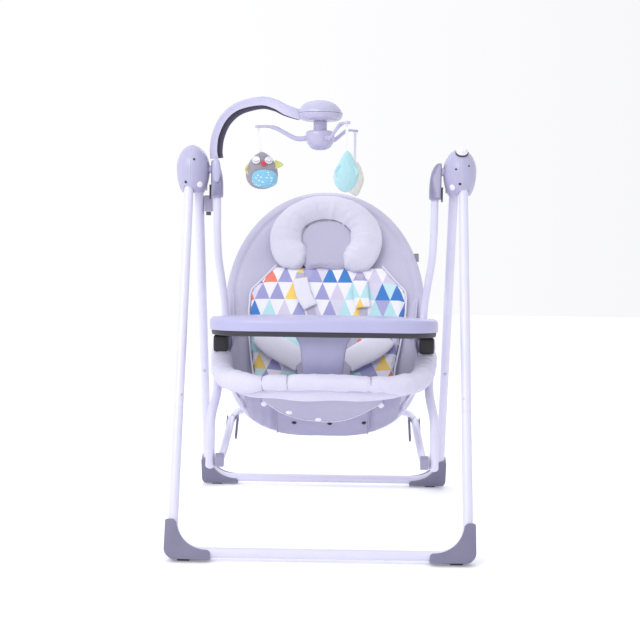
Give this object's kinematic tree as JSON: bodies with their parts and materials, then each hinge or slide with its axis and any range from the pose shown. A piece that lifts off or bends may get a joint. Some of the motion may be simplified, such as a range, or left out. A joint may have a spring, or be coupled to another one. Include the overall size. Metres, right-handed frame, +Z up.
{
  "type": "baby swing",
  "caption": "Folding A-frame baby swing: powered swing arms, docked bouncer seat with tray, rocker base and turning toy mobile",
  "frame": {"origin": "on the floor, under the middle of the four feet", "axes": "+Z up, -Y the front that the seated child faces, +X to the right as seen from the front"},
  "size_m": [0.7088, 0.7575, 1.0096],
  "materials": {
    "frame_tube": "powder-coated, satin",
    "hub_plastic": "moulded, satin",
    "tray_plastic": "moulded, satin",
    "knee_plastic": "moulded, fine texture",
    "inlet_plastic": "moulded, fine texture",
    "foot_plastic": "moulded, fine texture",
    "foot_rubber": "moulded, matte",
    "dark_plastic": "moulded, fine texture",
    "dial_plastic": "moulded, gloss",
    "steel": "bright zinc",
    "coil_copper": "lacquered wire",
    "board": "lacquered board",
    "seat_fabric": "brushed polyester",
    "pale_fabric": "brushed polyester",
    "insert_fabric": "printed cotton",
    "apron_fabric": "coated polyester",
    "owl_plush": "short plush",
    "bird_plush": "short plush",
    "cloud_plush": "short plush"
  },
  "bodies": {
    "stand": {"front_base_tube": "frame_tube", "front_leg_left": "frame_tube", "front_leg_right": "frame_tube", "front_foot_left": "foot_plastic", "front_foot_right": "foot_plastic", "front_pad_left": "foot_rubber", "front_pad_right": "foot_rubber", "hub_left_inner": "hub_plastic", "hub_left_outer": "hub_plastic", "hub_right_inner": "hub_plastic", "hub_right_outer": "hub_plastic", "drive_coil": "coil_copper", "control_board": "board"},
    "dial": {"speed_dial": "dial_plastic"},
    "rear_frame": {"rear_base_tube": "frame_tube", "rear_leg_left": "frame_tube", "rear_leg_right": "frame_tube", "rear_foot_left": "foot_plastic", "rear_foot_right": "foot_plastic", "rear_pad_left": "foot_rubber", "rear_pad_right": "foot_rubber", "pivot_pin_left": "steel", "pivot_pin_right": "steel", "power_box": "inlet_plastic", "power_socket": "dark_plastic"},
    "snap_left": {"snap_button_left": "dark_plastic"},
    "snap_right": {"snap_button_right": "dark_plastic"},
    "swing": {"swing_arm_left": "frame_tube", "swing_arm_right": "frame_tube", "elbow_left": "knee_plastic", "elbow_right": "knee_plastic", "drive_magnet": "steel", "mobile_arch": "hub_plastic", "mobile_dome": "hub_plastic", "mobile_dome_base": "hub_plastic", "seat_dock_left": "hub_plastic", "seat_dock_right": "hub_plastic"},
    "mobile_release": {"mobile_button": "hub_plastic"},
    "rotor": {"mobile_rotor": "hub_plastic"},
    "owl": {"owl_toy": "owl_plush"},
    "bird": {"bird_toy": "bird_plush"},
    "cloud": {"cloud_toy": "cloud_plush"},
    "seat": {"seat_ring": "frame_tube", "rim_tube": "frame_tube", "rim_cover": "pale_fabric", "seat_pad": "seat_fabric", "head_pillow": "pale_fabric", "insert_pad": "insert_fabric", "apron": "apron_fabric", "buckle": "dark_plastic", "seat_leg_left": "frame_tube", "seat_leg_right": "frame_tube"},
    "runner": {"runner_frame": "frame_tube"},
    "kick_left": {"kickstand_left": "foot_plastic"},
    "kick_right": {"kickstand_right": "foot_plastic"},
    "tray": {"tray_top": "tray_plastic", "tray_base": "dark_plastic", "crotch_post": "tray_plastic"},
    "latch_left": {"tray_latch_left": "dark_plastic"},
    "latch_right": {"tray_latch_right": "dark_plastic"}
  },
  "joints": [
    {"name": "swing", "type": "hinge", "parent": "stand", "child": "swing", "pos_m": [0, 0, 0.843], "axis": [1, 0, 0], "range_deg": [-14, 14]},
    {"name": "rear_leg_fold", "type": "hinge", "parent": "stand", "child": "rear_frame", "pos_m": [0, 0.028, 0.8], "axis": [-1, 0, 0], "range_deg": [0, 42]},
    {"name": "speed_dial_turn", "type": "hinge", "parent": "stand", "child": "dial", "pos_m": [0.3165, -0.03498, 0.88622], "axis": [0, -0.6428, 0.766], "range_deg": [0, 270]},
    {"name": "seat_tilt", "type": "hinge", "parent": "swing", "child": "seat", "pos_m": [0, -0.008, 0.42], "axis": [1, 0, 0], "range_deg": [-10, 8]},
    {"name": "mobile_turn", "type": "hinge", "parent": "swing", "child": "rotor", "pos_m": [-0.015, -0.05, 0.92], "axis": [0, 0, 1], "continuous": true},
    {"name": "mobile_release_press", "type": "slide", "parent": "swing", "child": "mobile_release", "axis": [0, 1, 0], "range_m": [0, 0.003], "stiffness_N_per_m": 600, "springref_m": -0.003},
    {"name": "runner_fold", "type": "hinge", "parent": "seat", "child": "runner", "pos_m": [0, -0.17, 0.178], "axis": [1, 0, 0], "range_deg": [0, 18]},
    {"name": "tray_lift", "type": "slide", "parent": "seat", "child": "tray", "axis": [0, 0, 1], "range_m": [0, 0.12]},
    {"name": "owl_sway", "type": "hinge", "parent": "rotor", "child": "owl", "pos_m": [-0.15945, -0.03736, 0.941], "axis": [-0.9962, 0.0872, 0], "range_deg": [-25, 25]},
    {"name": "bird_sway", "type": "hinge", "parent": "rotor", "child": "bird", "pos_m": [0.04628, -0.18141, 0.941], "axis": [0.4226, -0.9063, 0], "range_deg": [-25, 25]},
    {"name": "cloud_sway", "type": "hinge", "parent": "rotor", "child": "cloud", "pos_m": [0.06817, 0.06878, 0.941], "axis": [0.5736, 0.8191, 0], "range_deg": [-25, 25]},
    {"name": "snap_left_press", "type": "slide", "parent": "rear_frame", "child": "snap_left", "axis": [0, 0.9205, 0.3908], "range_m": [0, 0.0025], "stiffness_N_per_m": 600, "springref_m": -0.003},
    {"name": "kickstand_left", "type": "hinge", "parent": "runner", "child": "kick_left", "pos_m": [-0.21075, 0.05, 0.236], "axis": [1, 0, 0], "range_deg": [0, 75]},
    {"name": "latch_left_press", "type": "slide", "parent": "tray", "child": "latch_left", "axis": [1, 0, 0], "range_m": [0, 0.003], "stiffness_N_per_m": 900, "springref_m": -0.003},
    {"name": "snap_right_press", "type": "slide", "parent": "rear_frame", "child": "snap_right", "axis": [0, 0.9205, 0.3908], "range_m": [0, 0.0025], "stiffness_N_per_m": 600, "springref_m": -0.003},
    {"name": "kickstand_right", "type": "hinge", "parent": "runner", "child": "kick_right", "pos_m": [0.21075, 0.05, 0.236], "axis": [1, 0, 0], "range_deg": [0, 75]},
    {"name": "latch_right_press", "type": "slide", "parent": "tray", "child": "latch_right", "axis": [-1, 0, 0], "range_m": [0, 0.003], "stiffness_N_per_m": 900, "springref_m": -0.003}
  ]
}
